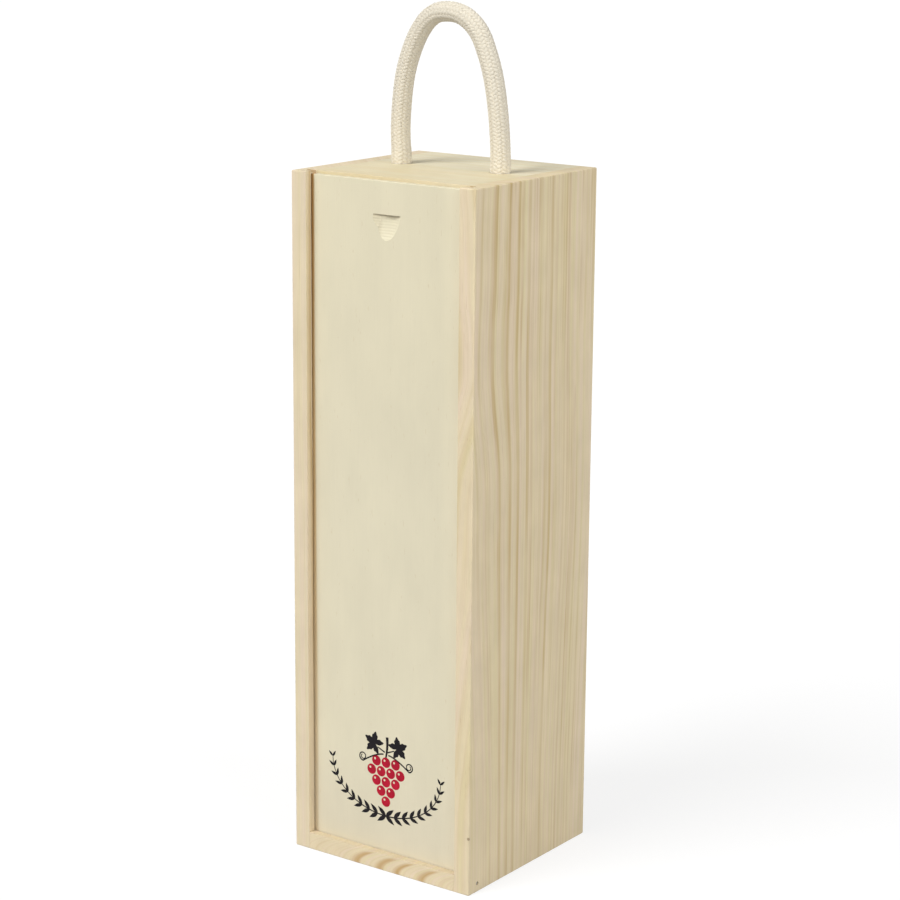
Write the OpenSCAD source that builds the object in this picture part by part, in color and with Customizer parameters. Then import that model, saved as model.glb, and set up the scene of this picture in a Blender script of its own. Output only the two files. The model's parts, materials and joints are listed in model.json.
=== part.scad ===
// Upright pine box for one wine bottle, with a lid that slides up out of grooves and a rope handle.
// Millimetres, Z up, the lid at the front (-Y), origin at the bottom centre of the box.

/* [Box] */
// Height of the box, over the side boards
box_h = 350; // [320:1:400]
// Width of the box, over both side boards
box_w = 110; // [100:1:140]
// Depth of the box, from its front edges to its back edges
box_d = 103; // [95:1:130]
// Thickness of the pine boards of the sides, top and bottom
board_t = 9; // [8:0.5:12]
// Width of the eased corner along every outer edge
ease = 0.8; // [0.3:0.1:1.5]

/* [Grooves] */
// Thickness of the lip of a board in front of the lid, and behind the back panel
lip_t = 4.2; // [3:0.1:6]
// Depth of the side boards' grooves
groove_deep = 4; // [3:0.1:5]
// Depth of the grooves across the top and bottom boards
cross_groove_deep = 3; // [2:0.1:3.4]

/* [Lid] */
// Thickness of the sliding lid
lid_t = 3.2; // [2.6:0.1:4]
// Play of the lid in its grooves, front to back
lid_play = 0.8; // [0.4:0.1:1.2]
// Play between each side edge of the lid and the groove's floor
lid_side_play = 0.6; // [0.3:0.1:1]
// Play under the lid when it is shut
lid_foot_play = 0.2; // [0.1:0.05:0.5]
// How far the top edge of the shut lid lies below the top of the box
lid_drop = 1.5; // [0.5:0.1:4]
// Width of the eased corner along the lid's top edge, in front
lid_ease = 0.4; // [0.2:0.1:1]

/* [Thumb notch] */
// Width of the thumb notch at its straight upper wall
notch_w = 16.5; // [12:0.5:22]
// Height of the thumb notch
notch_h = 12.5; // [9:0.5:18]
// Depth of the thumb notch at its upper wall
notch_deep = 1.9; // [1:0.1:2.2]
// Distance from the lid's top edge down to the notch
notch_drop = 16; // [10:0.5:30]

/* [Back panel] */
// Thickness of the plywood back panel
panel_t = 4; // [3:0.1:5]
// Play of the back panel in its grooves, front to back
panel_play = 0.3; // [0.1:0.05:0.6]
// Play between the back panel's edges and the floors of its grooves
panel_edge_play = 0.4; // [0.2:0.1:0.8]

/* [Rope] */
// Diameter of the rope
rope_d = 10; // [8:0.5:11]
// Distance between the middles of the two rope holes
hole_gap = 60; // [56:1:66]
// Play round the rope in its holes
hole_play = 0.3; // [0.1:0.05:0.6]
// Clearance between the standing part of the handle and the board it bends over
foot_clear = 0.3; // [0.2:0.05:0.5]
// Outer diameter of the knots under the top board
knot_d = 24; // [22:0.5:26]
// Height of a knot
knot_h = 18; // [16:0.5:22]
// Gap between a knot and the top board
knot_clear = 0.2; // [0.1:0.05:0.5]
// Length of the rope's tail below its knot
tail_h = 14; // [8:1:25]

/* [Brads] */
// Diameter of a brad's shank
brad_d = 1.2; // [1:0.1:1.6]
// Length of a brad
brad_len = 25; // [20:1:32]
// Diameter of a brad's head
brad_head_d = 2; // [1.7:0.1:2.4]
// Thickness of a brad's head
brad_head_t = 0.6; // [0.4:0.1:1]
// How far the head is sunk below the wood
brad_sunk = 0.5; // [0.2:0.1:1.2]
// Play round the brad in its hole
brad_play = 0.03; // [0.01:0.01:0.05]
// Distance of a brad behind the front of the box
brad_back = 7.3; // [5:0.1:12]

/* [Hidden] */
$fn = 64;
// How far a cutter runs past the face that it opens
past = 1;
front_y = -box_d / 2;
back_y = box_d / 2;
inner_w = box_w - 2 * board_t;
under_top_z = box_h - board_t;
// The lid and the grooves that guide it
lid_groove_w = lid_t + lid_play;
lid_groove_y = front_y + lip_t;
lid_foot_z = board_t - cross_groove_deep;
lid_w = inner_w + 2 * (groove_deep - lid_side_play);
lid_front_y = lid_groove_y + lid_play / 2;
lid_low_z = lid_foot_z + lid_foot_play;
lid_top_z = box_h - lid_drop;
// The notch is the scoop of a round cutter that leans towards the lid
notch_r = (notch_w * notch_w / 4 + notch_deep * notch_deep) / (2 * notch_deep);
notch_lean = atan(notch_deep / notch_h);
// The back panel and the grooves that hold it
panel_groove_w = panel_t + panel_play;
panel_groove_y = back_y - lip_t - panel_groove_w;
panel_foot_z = board_t - cross_groove_deep;
panel_head_z = under_top_z + cross_groove_deep;
// The top board starts at the rear wall of the lid's groove
top_front_y = lid_groove_y + lid_groove_w;
// The rope's holes lie along the middle of the top board
hole_y = (top_front_y + back_y) / 2;
hole_x = hole_gap / 2;
rope_r = rope_d / 2;
foot_z = rope_r + foot_clear;
// The handle's centre line above the box: X over the width between the holes, and height
drawn_gap = 60;
handle_route = [
    [-30.5, 12], [-30.5, 20], [-30, 28], [-29, 37], [-27.5, 45], [-25, 53], [-22, 60], [-18.5, 66],
    [-14, 71.3], [-8.5, 74.7], [-2.5, 75.6], [3.5, 75.2], [9, 73.2], [14, 69.5], [18, 64.5],
    [21, 58], [23.5, 51.5], [25.5, 44.5], [27.2, 36], [28.5, 27], [29.3, 19], [29.8, 12]];
// Sides of the rope, rings from one point of the route to the next, and rings of a foot's dome
rope_sides = 12;
rope_steps = 2;
foot_rings = 3;
// The straight run below each end of the route, which aims the curve there
run_below = 8;
brad_z = board_t / 2;

// Slices a small corner off the edge that runs along Z, Y or X through a point
module ease_along_z(at, long) {
    side = ease * sqrt(2);
    translate([at[0], at[1], at[2] + long / 2]) rotate([0, 0, 45])
        cube([side, side, long + 2 * past], center = true);
}

module ease_along_y(at, long) {
    side = ease * sqrt(2);
    translate([at[0], at[1] + long / 2, at[2]]) rotate([0, 45, 0])
        cube([side, long + 2 * past, side], center = true);
}

module ease_along_x(at, long) {
    side = ease * sqrt(2);
    translate([at[0] + long / 2, at[1], at[2]]) rotate([45, 0, 0])
        cube([long + 2 * past, side, side], center = true);
}

// A brad's shank and head, driven in from the right side board's face; more is added to its radii
module brad(more = 0) {
    translate([box_w / 2 - brad_sunk, front_y + brad_back, brad_z]) rotate([0, -90, 0]) {
        cylinder(d = brad_d + 2 * more, h = brad_len + more);
        cylinder(d = brad_head_d + 2 * more, h = brad_head_t + more);
        if (more > 0) translate([0, 0, -brad_sunk - past])
            cylinder(d = brad_head_d + 2 * more, h = brad_sunk + past + more);
    }
}

// A side board stands the full height, grooved for the lid in front and for the panel at the back
module side_board() {
    inner_x = inner_w / 2;
    outer_x = box_w / 2;
    difference() {
        translate([inner_x, front_y, 0]) cube([board_t, box_d, box_h]);
        translate([inner_x - past, lid_groove_y, lid_foot_z])
            cube([groove_deep + past, lid_groove_w, box_h]);
        translate([inner_x - past, panel_groove_y, panel_foot_z])
            cube([groove_deep + past, panel_groove_w, panel_head_z - panel_foot_z]);
        brad(brad_play);
        for (y = [front_y, back_y]) {
            ease_along_z([outer_x, y, 0], box_h);
            for (z = [0, box_h]) ease_along_x([inner_x, y, z], board_t);
        }
        for (z = [0, box_h]) ease_along_y([outer_x, front_y, z], box_d);
    }
}

module right_side_board() {
    color("burlywood") side_board();
}

module left_side_board() {
    color("burlywood") mirror([1, 0, 0]) side_board();
}

// The top board lies between the sides, behind the lid, with a hole for each end of the rope
module top_board() {
    color("wheat") difference() {
        translate([-inner_w / 2, top_front_y, under_top_z])
            cube([inner_w, back_y - top_front_y, board_t]);
        translate([-inner_w / 2 - past, panel_groove_y, under_top_z - past])
            cube([inner_w + 2 * past, panel_groove_w, cross_groove_deep + past]);
        for (side = [-1, 1]) translate([side * hole_x, hole_y, under_top_z - past])
            cylinder(d = rope_d + 2 * hole_play, h = board_t + 2 * past);
        ease_along_x([-inner_w / 2, back_y, box_h], inner_w);
    }
}

// The bottom board lies between the sides, with a groove for the lid's foot and one for the panel
module bottom_board() {
    color("wheat") difference() {
        translate([-inner_w / 2, front_y, 0]) cube([inner_w, box_d, board_t]);
        translate([-inner_w / 2 - past, lid_groove_y, lid_foot_z])
            cube([inner_w + 2 * past, lid_groove_w, cross_groove_deep + past]);
        translate([-inner_w / 2 - past, panel_groove_y, panel_foot_z])
            cube([inner_w + 2 * past, panel_groove_w, cross_groove_deep + past]);
        for (y = [front_y, back_y]) ease_along_x([-inner_w / 2, y, 0], inner_w);
        ease_along_x([-inner_w / 2, front_y, board_t], inner_w);
        brad(brad_play);
        mirror([1, 0, 0]) brad(brad_play);
    }
}

// The back panel is caught in the grooves of all four boards
module back_panel() {
    panel_w = inner_w + 2 * (groove_deep - panel_edge_play);
    panel_h = panel_head_z - panel_foot_z - 2 * panel_edge_play;
    color("bisque")
        translate([-panel_w / 2, panel_groove_y + panel_play / 2, panel_foot_z + panel_edge_play])
            cube([panel_w, panel_t, panel_h]);
}

// The lid is a thin panel with a thumb notch near its top, cut by a leaning round cutter
module sliding_lid() {
    notch_top_z = lid_top_z - notch_drop;
    color("cornsilk") difference() {
        translate([-lid_w / 2, lid_front_y, lid_low_z]) cube([lid_w, lid_t, lid_top_z - lid_low_z]);
        translate([0, lid_front_y + notch_deep, notch_top_z]) rotate([-notch_lean, 0, 0])
            translate([0, -notch_r, -2 * notch_h]) cylinder(r = notch_r, h = 2 * notch_h, $fn = 128);
        translate([0, lid_front_y, lid_top_z]) rotate([45, 0, 0])
            cube([lid_w + 2 * past, lid_ease * sqrt(2), lid_ease * sqrt(2)], center = true);
    }
}

// The handle's whole centre line, from the bend over one hole to the bend over the other
route = concat([[-drawn_gap / 2, foot_z]], handle_route, [[drawn_gap / 2, foot_z]]);

// The route's point of a number, with one more straight below each end
function route_point(i) =
    let (last = len(route) - 1)
    i < 0 ? route[0] - [0, run_below] :
    i > last ? route[last] - [0, run_below] : route[i];

// A smooth curve through the route's points, and its direction
function on_route(i, t) =
    let (a = route_point(i - 1), b = route_point(i), c = route_point(i + 1), d = route_point(i + 2))
    (2 * b + (c - a) * t + (2 * a - 5 * b + 4 * c - d) * t * t
        + (3 * b - a - 3 * c + d) * t * t * t) / 2;
function along_route(i, t) =
    let (a = route_point(i - 1), b = route_point(i), c = route_point(i + 1), d = route_point(i + 2))
    ((c - a) + 2 * (2 * a - 5 * b + 4 * c - d) * t + 3 * (3 * b - a - 3 * c + d) * t * t) / 2;

// One ring of the rope round a centre line point, given as [point, direction, radius]
function rope_ring(p) =
    let (u = p[1] / norm(p[1]))
    [for (k = [0 : rope_sides - 1])
        let (turn = 360 * k / rope_sides)
        [(p[0][0] - u[1] * p[2] * cos(turn)) * hole_gap / drawn_gap, hole_y + p[2] * sin(turn),
            box_h + p[0][1] + u[0] * p[2] * cos(turn)]];

// The standing part of the handle, which ends in a round foot over each hole, where the rope bends
module rope_handle() {
    last = len(route) - 1;
    ends = [[route[0], [0, 1]], [route[last], [0, -1]]];
    line = concat(
        [for (k = [1 : foot_rings])
            let (up = 90 * k / (foot_rings + 1))
            [ends[0][0] - [0, rope_r * cos(up)], ends[0][1], rope_r * sin(up)]],
        [for (i = [0 : last - 1], s = [0 : rope_steps - 1])
            [on_route(i, s / rope_steps), along_route(i, s / rope_steps), rope_r]],
        [[ends[1][0], ends[1][1], rope_r]],
        [for (k = [foot_rings : -1 : 1])
            let (up = 90 * k / (foot_rings + 1))
            [ends[1][0] - [0, rope_r * cos(up)], ends[1][1], rope_r * sin(up)]]);
    rings = len(line);
    skin = [for (p = line) each rope_ring(p)];
    poles = [for (side = [-1, 1]) [side * hole_x, hole_y, box_h + foot_clear]];
    count = rope_sides;
    walls = [for (i = [0 : rings - 2], k = [0 : count - 1])
        let (a = i * count + k, b = i * count + (k + 1) % count)
        each [[a, a + count, b], [b, a + count, b + count]]];
    caps = [for (k = [0 : count - 1])
        let (next = (k + 1) % count)
        each [[rings * count, k, next],
            [rings * count + 1, (rings - 1) * count + next, (rings - 1) * count + k]]];
    color("ivory") polyhedron(points = concat(skin, poles), faces = concat(walls, caps));
}

// The rope's end: it goes down through its hole, is tied in a knot and ends in a short tail
module rope_knot() {
    wrap_x = knot_d / 2 - rope_r;
    knot_top_z = under_top_z - knot_clear;
    knot_low_z = knot_top_z - knot_h;
    tail_low_z = knot_low_z - tail_h;
    translate([hole_x, hole_y, 0]) {
        translate([0, 0, tail_low_z]) cylinder(d = rope_d, h = box_h - tail_low_z);
        translate([0, 0, knot_low_z + rope_r]) cylinder(r = wrap_x, h = knot_h - rope_d);
        for (z = [knot_low_z + rope_r, knot_top_z - rope_r]) translate([0, 0, z])
            rotate_extrude() translate([wrap_x, 0]) circle(d = rope_d);
    }
}

module rope_knot_right() {
    color("ivory") rope_knot();
}

module rope_knot_left() {
    color("ivory") mirror([1, 0, 0]) rope_knot();
}

// One brad holds each side board to the end of the bottom board
module bottom_brads() {
    color("dimgray") {
        brad();
        mirror([1, 0, 0]) brad();
    }
}

left_side_board();
right_side_board();
top_board();
bottom_board();
back_panel();
sliding_lid();
rope_handle();
rope_knot_left();
rope_knot_right();
bottom_brads();
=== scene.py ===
import json
import math
import bmesh
import bpy
import numpy as np
from mathutils import Matrix, Vector


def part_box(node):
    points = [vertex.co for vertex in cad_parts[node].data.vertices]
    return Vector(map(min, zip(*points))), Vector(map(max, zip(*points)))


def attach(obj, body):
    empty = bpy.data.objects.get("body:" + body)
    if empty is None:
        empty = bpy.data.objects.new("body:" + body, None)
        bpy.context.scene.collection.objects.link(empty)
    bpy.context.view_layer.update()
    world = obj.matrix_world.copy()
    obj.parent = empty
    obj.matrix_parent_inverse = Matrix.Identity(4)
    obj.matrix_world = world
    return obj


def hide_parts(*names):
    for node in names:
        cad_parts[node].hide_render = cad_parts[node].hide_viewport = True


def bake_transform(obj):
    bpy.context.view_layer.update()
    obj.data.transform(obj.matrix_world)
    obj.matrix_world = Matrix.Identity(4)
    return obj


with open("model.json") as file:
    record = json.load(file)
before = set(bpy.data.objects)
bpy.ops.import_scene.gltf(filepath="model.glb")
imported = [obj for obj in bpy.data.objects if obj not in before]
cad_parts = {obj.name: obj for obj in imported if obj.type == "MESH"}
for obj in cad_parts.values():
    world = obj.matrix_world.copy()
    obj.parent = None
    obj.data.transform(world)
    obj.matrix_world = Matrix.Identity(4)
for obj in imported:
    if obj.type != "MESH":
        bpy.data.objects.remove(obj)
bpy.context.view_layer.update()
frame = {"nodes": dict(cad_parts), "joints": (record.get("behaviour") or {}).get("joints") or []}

# The view
# The box is looked at from its front right, a little from above and with a long lens, so that its
# front, its right side and a sliver of its top show.


def in_scene(name, data):
    """A new object in the scene."""
    made = bpy.data.objects.new(name, data)
    bpy.context.scene.collection.objects.link(made)
    return made


lens = bpy.data.cameras.new("view_camera")
lens.sensor_width = 36
lens.lens = 101.0
camera = in_scene("view_camera", lens)
camera.location = (0.7275, -0.9944, 0.5064)
camera.rotation_euler = [math.radians(angle) for angle in (76.407, -0.428, 36.137)]
bpy.context.scene.camera = camera

# The rope handle
# An undyed cotton rope, 10 mm thick, braided from 24 strands round a core of loose yarn. Its ends
# go down through two holes of the top board, and its own stiffness holds the arch up.
MM = 0.001
rope_d = 10 * MM
strands_each_way = 12
strand_w = 1.8 * MM
strand_t = 0.62 * MM
# A strand goes once round the rope in this length, and is drawn in steps of this size
braid_pitch = 22 * MM
braid_step = 0.75 * MM
# The twist of the yarn shows on a strand this often
yarn_pitch = 1.6 * MM
box_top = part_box("top_board")[1].z
board_t = box_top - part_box("top_board")[0].z
hole_y, hinge_z = frame["joints"][1]["pos_m"][1:]
hole_x = 30 * MM
# The arch's centre line in millimetres: X, and the height above the top of the box
handle_route = [
    (-30.5, 12), (-30.5, 20), (-30, 28), (-29, 37), (-27.5, 45), (-25, 53), (-22, 60), (-18.5, 66),
    (-14, 71.3), (-8.5, 74.7), (-2.5, 75.6), (3.5, 75.2), (9, 73.2), (14, 69.5), (18, 64.5),
    (21, 58), (23.5, 51.5), (25.5, 44.5), (27.2, 36), (28.5, 27), (29.3, 19), (29.8, 12)]
# From the hinge's height down through the board and into the knot, which squeezes the rope thinner
down_the_hole = [5.3, 0, -4.5, -9, -12]
squeezed = 0.75


def smooth_line(points, per_span):
    """A smooth line through points, which bends evenly at each."""
    points = [Vector(p) for p in points]
    points = [2 * points[0] - points[1], *points, 2 * points[-1] - points[-2]]
    line = []
    for a, b, c, d in zip(points, points[1:], points[2:], points[3:]):
        for step in range(per_span):
            t = step / per_span
            line.append((2 * b + (c - a) * t + (2 * a - 5 * b + 4 * c - d) * t * t
                         + (3 * b - a - 3 * c + d) * t ** 3) / 2)
    return [*line, points[-2]]


class Flow:
    """A node's output, named or numbered. Arithmetic on it adds the node that works out the result."""

    def __init__(self, node, output=0):
        self.node = node
        self.tree = node.id_data
        self.output = output

    @property
    def socket(self):
        return self.node.outputs[self.output]

    def __getitem__(self, output):
        """Another output of the same node."""
        return Flow(self.node, output)

    def __add__(self, other):
        return maths("ADD", self, other)

    def __sub__(self, other):
        return maths("SUBTRACT", self, other)

    def __mul__(self, other):
        return maths("MULTIPLY", self, other)

    def __truediv__(self, other):
        return maths("DIVIDE", self, other)

    def dot(self, other):
        return maths("DOT_PRODUCT", self, other)


def fill(node, inputs):
    """Sets inputs of a node. Each value is another node's output, or what the socket holds."""
    for key, value in inputs.items():
        if isinstance(value, Flow):
            node.id_data.links.new(value.socket, node.inputs[key])
        else:
            node.inputs[key].default_value = value


def put(tree, kind, inputs=None, **settings):
    """Adds a node, and gives its first output."""
    made = tree.nodes.new(kind)
    for name, value in settings.items():
        setattr(made, name, value)
    fill(made, inputs or {})
    return Flow(made)


def tree_of(*values):
    """The tree that outputs among values belong to."""
    return next(value.tree for value in values if isinstance(value, Flow))


def maths(operation, *values):
    """What a Math node makes of outputs and numbers, or a Vector Math node where one is a vector."""
    tree = tree_of(*values)
    is_number = [value.socket.type in ("VALUE", "INT") if isinstance(value, Flow)
                 else isinstance(value, (int, float)) for value in values]
    if all(is_number):
        return put(tree, "ShaderNodeMath", dict(enumerate(values)), operation=operation)
    if operation == "MULTIPLY" and any(is_number):
        vector, number = reversed(values) if is_number[0] else values
        return put(tree, "ShaderNodeVectorMath", {"Vector": vector, "Scale": number}, operation="SCALE")
    made = put(tree, "ShaderNodeVectorMath", dict(enumerate(values)), operation=operation)
    return made["Value"] if operation in ("DOT_PRODUCT", "DISTANCE") else made


def growing_tree(name, inputs):
    """A new Geometry Nodes tree, and what it is given: its inputs come as a name and a kind each."""
    tree = bpy.data.node_groups.new(name, "GeometryNodeTree")
    for label, kind in inputs.items():
        tree.interface.new_socket(label, in_out="INPUT", socket_type="NodeSocket" + kind)
    tree.interface.new_socket("Mesh", in_out="OUTPUT", socket_type="NodeSocketGeometry")
    return tree, put(tree, "NodeGroupInput")


def hand_over(parts, material):
    """Ends a Geometry Nodes tree: joins its parts and gives them their material."""
    tree = tree_of(*parts)
    whole = put(tree, "GeometryNodeJoinGeometry")
    for part in parts:
        fill(whole.node, {0: part})
    whole = put(tree, "GeometryNodeRealizeInstances", {"Geometry": whole})
    whole = put(tree, "GeometryNodeSetMaterial", {"Geometry": whole, "Material": material})
    fill(tree.nodes.new("NodeGroupOutput"), {0: whole})


def braid_tree():
    """Strands that wind both ways round a line, each over two and under two, and a core."""
    tree, given = growing_tree("braided_rope", {
        "Line": "Geometry", "Rope radius": "Float", "Pitch": "Float", "Strand width": "Float",
        "Strand thickness": "Float", "Step": "Float", "Strands each way": "Int", "Material": "Material"})
    each_way = given["Strands each way"]
    thickness = given["Strand thickness"]

    def stored(geometry, name, value):
        """Keeps a number at each point, under a name that the material reads."""
        return put(tree, "GeometryNodeStoreNamedAttribute",
                   {"Geometry": geometry, "Name": name, "Value": value}, data_type="FLOAT", domain="POINT")

    # The line in short steps, each with its directions, its length so far and its thickness
    stepped = put(tree, "GeometryNodeResampleCurve", {"Curve": given["Line"], "Length": given["Step"]},
                  mode="LENGTH")
    kept = put(tree, "GeometryNodeCaptureAttribute", {"Geometry": stepped})
    kinds = {"side": "VECTOR", "ahead": "VECTOR", "travel": "FLOAT", "girth": "FLOAT"}
    for name, kind in kinds.items():
        kept.node.capture_items.new(kind, name)
    fill(kept.node, {"side": put(tree, "GeometryNodeInputNormal"),
                     "ahead": put(tree, "GeometryNodeInputTangent"),
                     "travel": put(tree, "GeometryNodeSplineParameter")["Length"],
                     "girth": put(tree, "GeometryNodeInputRadius")})
    side, ahead, travel, girth = [kept[name] for name in kinds]

    # One copy a strand: the second half winds the other way, and starts half a gap further round
    copies = put(tree, "GeometryNodeDuplicateElements", {"Geometry": kept, "Amount": each_way * 2.0},
                 domain="SPLINE")
    number = copies["Duplicate Index"]
    other = maths("GREATER_THAN", number + 0.5, each_way)
    way = other * -2.0 + 1.0
    start = (number + other * 0.5) / each_way * math.tau
    angle = start + way * (travel / given["Pitch"] * math.tau)

    # A strand stays up or down, about half its thickness off the middle, for most of its way, and dives
    # quickly in between
    dive = 1.35
    lift_share = 0.48
    weave = maths("COSINE", angle * (each_way * 0.5)) * dive
    over = maths("MINIMUM", maths("MAXIMUM", weave, -1.0), 1.0) * way
    lift = over * (thickness * lift_share)
    middle = given["Rope radius"] - thickness * (0.5 + lift_share)
    outward = side * maths("COSINE", angle) + maths("CROSS_PRODUCT", ahead, side) * maths("SINE", angle)
    strands = put(tree, "GeometryNodeSetPosition",
                  {"Geometry": copies, "Offset": outward * ((middle + lift) * girth)})
    strands = put(tree, "GeometryNodeSetCurveNormal", {"Curve": strands, "Normal": outward}, mode="FREE")
    strands = stored(strands, "over", over)
    strands = stored(strands, "travel", put(tree, "GeometryNodeSplineParameter")["Length"])
    strands = stored(strands, "strand", number)

    # A strand's section is a flat ring
    ring = put(tree, "GeometryNodeCurvePrimitiveCircle", {"Resolution": 8, "Radius": 0.5})
    round_it = put(tree, "GeometryNodeSplineParameter")["Factor"]
    ring = stored(ring, "across", maths("SINE", round_it * math.tau))
    flat = put(tree, "ShaderNodeCombineXYZ", {0: thickness, 1: given["Strand width"], 2: 1.0})
    ring = put(tree, "GeometryNodeTransform", {"Geometry": ring, "Scale": flat})
    skins = put(tree, "GeometryNodeCurveToMesh",
                {"Curve": strands, "Profile Curve": ring, "Scale": girth, "Fill Caps": True})

    # The core fills the rope to just under the strands' middle, in steps three times as long
    core_ring = put(tree, "GeometryNodeCurvePrimitiveCircle",
                    {"Resolution": 12, "Radius": middle - thickness * 0.12})
    core_line = put(tree, "GeometryNodeResampleCurve",
                    {"Curve": given["Line"], "Length": given["Step"] * 3.0}, mode="LENGTH")
    core = put(tree, "GeometryNodeCurveToMesh",
               {"Curve": core_line, "Profile Curve": core_ring,
                "Scale": put(tree, "GeometryNodeInputRadius"), "Fill Caps": True})
    hand_over([put(tree, "GeometryNodeSetShadeSmooth", {"Geometry": part, "Shade Smooth": True})
               for part in (core, skins)], given["Material"])
    return tree


def new_material(name):
    """A new material, with its shader and the place on the object in millimetres."""
    made = bpy.data.materials.new(name)
    made.use_nodes = True
    place = put(made.node_tree, "ShaderNodeTexCoord")["Object"] * (1 / MM)
    return made, made.node_tree.nodes["Principled BSDF"], place


def read(tree, name):
    """A number that the mesh holds."""
    return put(tree, "ShaderNodeAttribute", attribute_name=name)["Fac"]


def stretch(value, low, high, to_low=0.0, to_high=1.0, kind="LINEAR"):
    """A value moved from one range to another, and held there."""
    return put(value.tree, "ShaderNodeMapRange", {"Value": value, "From Min": low, "From Max": high,
                                                  "To Min": to_low, "To Max": to_high},
               interpolation_type=kind)


def noise(where, detail=2.0, roughness=0.5):
    """Soft noise, 0.5 on average, at a place times its swings in a millimetre. where is a vector, or
    the three parts of one."""
    if isinstance(where, tuple):
        where = put(tree_of(*where), "ShaderNodeCombineXYZ", dict(enumerate(where)))
    return put(where.tree, "ShaderNodeTexNoise", {"Vector": where, "Scale": 1.0, "Detail": detail,
                                                  "Roughness": roughness})


def mix(factor, a, b, blend="MIX"):
    """Two colours mixed. Each is an output, or its red, green and blue."""
    a, b = [colour if isinstance(colour, Flow) else (*colour, 1) for colour in (a, b)]
    return put(tree_of(factor, a, b), "ShaderNodeMix", {0: factor, 6: a, 7: b}, data_type="RGBA",
               blend_type=blend)[2]


def bump(height, strength, depth):
    """A surface's normals, as if it rose and fell with a height."""
    return put(height.tree, "ShaderNodeBump", {"Height": height, "Strength": strength, "Distance": depth})


def cotton():
    """Undyed cotton: cream, matt and a little woolly, with painted shade where the strands dive."""
    made, shader, place = new_material("undyed_cotton")
    over, travel, across, strand = [read(place.tree, name) for name in ("over", "travel", "across", "strand")]
    # Painted shade: a strand is darker where it dives under the others
    deep_shade_tone = (0.69, 0.60, 0.46)
    top_tone = (0.775, 0.715, 0.59)
    tone = mix(stretch(over, -0.7, 0.6), deep_shade_tone, top_tone)
    blotch = stretch(noise(place * 0.11, 3.0), 0.0, 1.0, 0.80, 1.12)
    # The yarns of a strand lie aslant across it
    yarns = maths("SINE", travel * (math.tau / yarn_pitch) + across * 4.2 + strand * 2.4)
    lint = noise(place * 2.6, 4.0, 0.7)
    fill(shader, {"Base Color": mix(0.22, tone, blotch, "MULTIPLY"),
                  "Normal": bump(yarns * 0.5 + lint, 0.4, 0.08 * MM),
                  "Roughness": 0.9, "Specular IOR Level": 0.15, "Sheen Weight": 0.25, "Sheen Roughness": 0.6})
    return made


def built(made):
    """The mesh that a piece's modifiers make."""
    seen = made.evaluated_get(bpy.context.evaluated_depsgraph_get())
    mesh = bpy.data.meshes.new_from_object(seen)
    mesh.name = made.name
    return mesh


def grown(name, tree, given, lines):
    """What a Geometry Nodes tree makes of lines, each of places and girths, as a plain mesh. A girth of
    1 is the full thickness."""
    curve = bpy.data.curves.new(name, "CURVE")
    curve.dimensions = "3D"
    for places, girths in lines:
        spline = curve.splines.new("POLY")
        spline.points.add(len(places) - 1)
        for point, place, girth in zip(spline.points, places, girths):
            point.co = (*place, 1)
            point.radius = girth
    drawn = in_scene(name, curve)
    grower = drawn.modifiers.new("grower", "NODES")
    grower.node_group = tree
    for socket in tree.interface.items_tree:
        if socket.in_out == "INPUT" and socket.name in given:
            grower[socket.identifier] = given[socket.name]
    mesh = built(drawn)
    bpy.data.objects.remove(drawn)
    return in_scene(name, mesh)


route = [(-hole_x / MM, z) for z in reversed(down_the_hole)] + handle_route \
    + [(hole_x / MM, z) for z in down_the_hole]
rope_line = smooth_line([(x * MM, hole_y, box_top + z * MM) for x, z in route], 6)
# The rope fills its hole, and swells a little just above the rim
pinch = ([-board_t, -board_t / 2, -0.5 * MM, 3 * MM, 10 * MM], [squeezed, 0.97, 1.02, 1.05, 1.0])
rope_girths = [np.interp(p.z - box_top, *pinch) for p in rope_line]
braid = braid_tree()
braid_sizes = {"Rope radius": rope_d / 2, "Pitch": braid_pitch, "Strand width": strand_w,
               "Strand thickness": strand_t, "Step": braid_step, "Strands each way": strands_each_way,
               "Material": cotton()}
rope = grown("rope", braid, braid_sizes, [(rope_line, rope_girths)])
rope_length = sum((b - a).length for a, b in zip(rope_line, rope_line[1:]))
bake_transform(rope)
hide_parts("rope_handle")

# The rope's knots
# Under the top board each end of the rope is tied in a plain overhand knot, pulled tight, which
# can't pass through its hole. A short tail of the rope hangs below it.
knot_clear = 0.3 * MM
knot_rope_d = rope_d * squeezed
under_top = box_top - board_t
tail_low_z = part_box("rope_knot_right")[0].z


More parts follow.
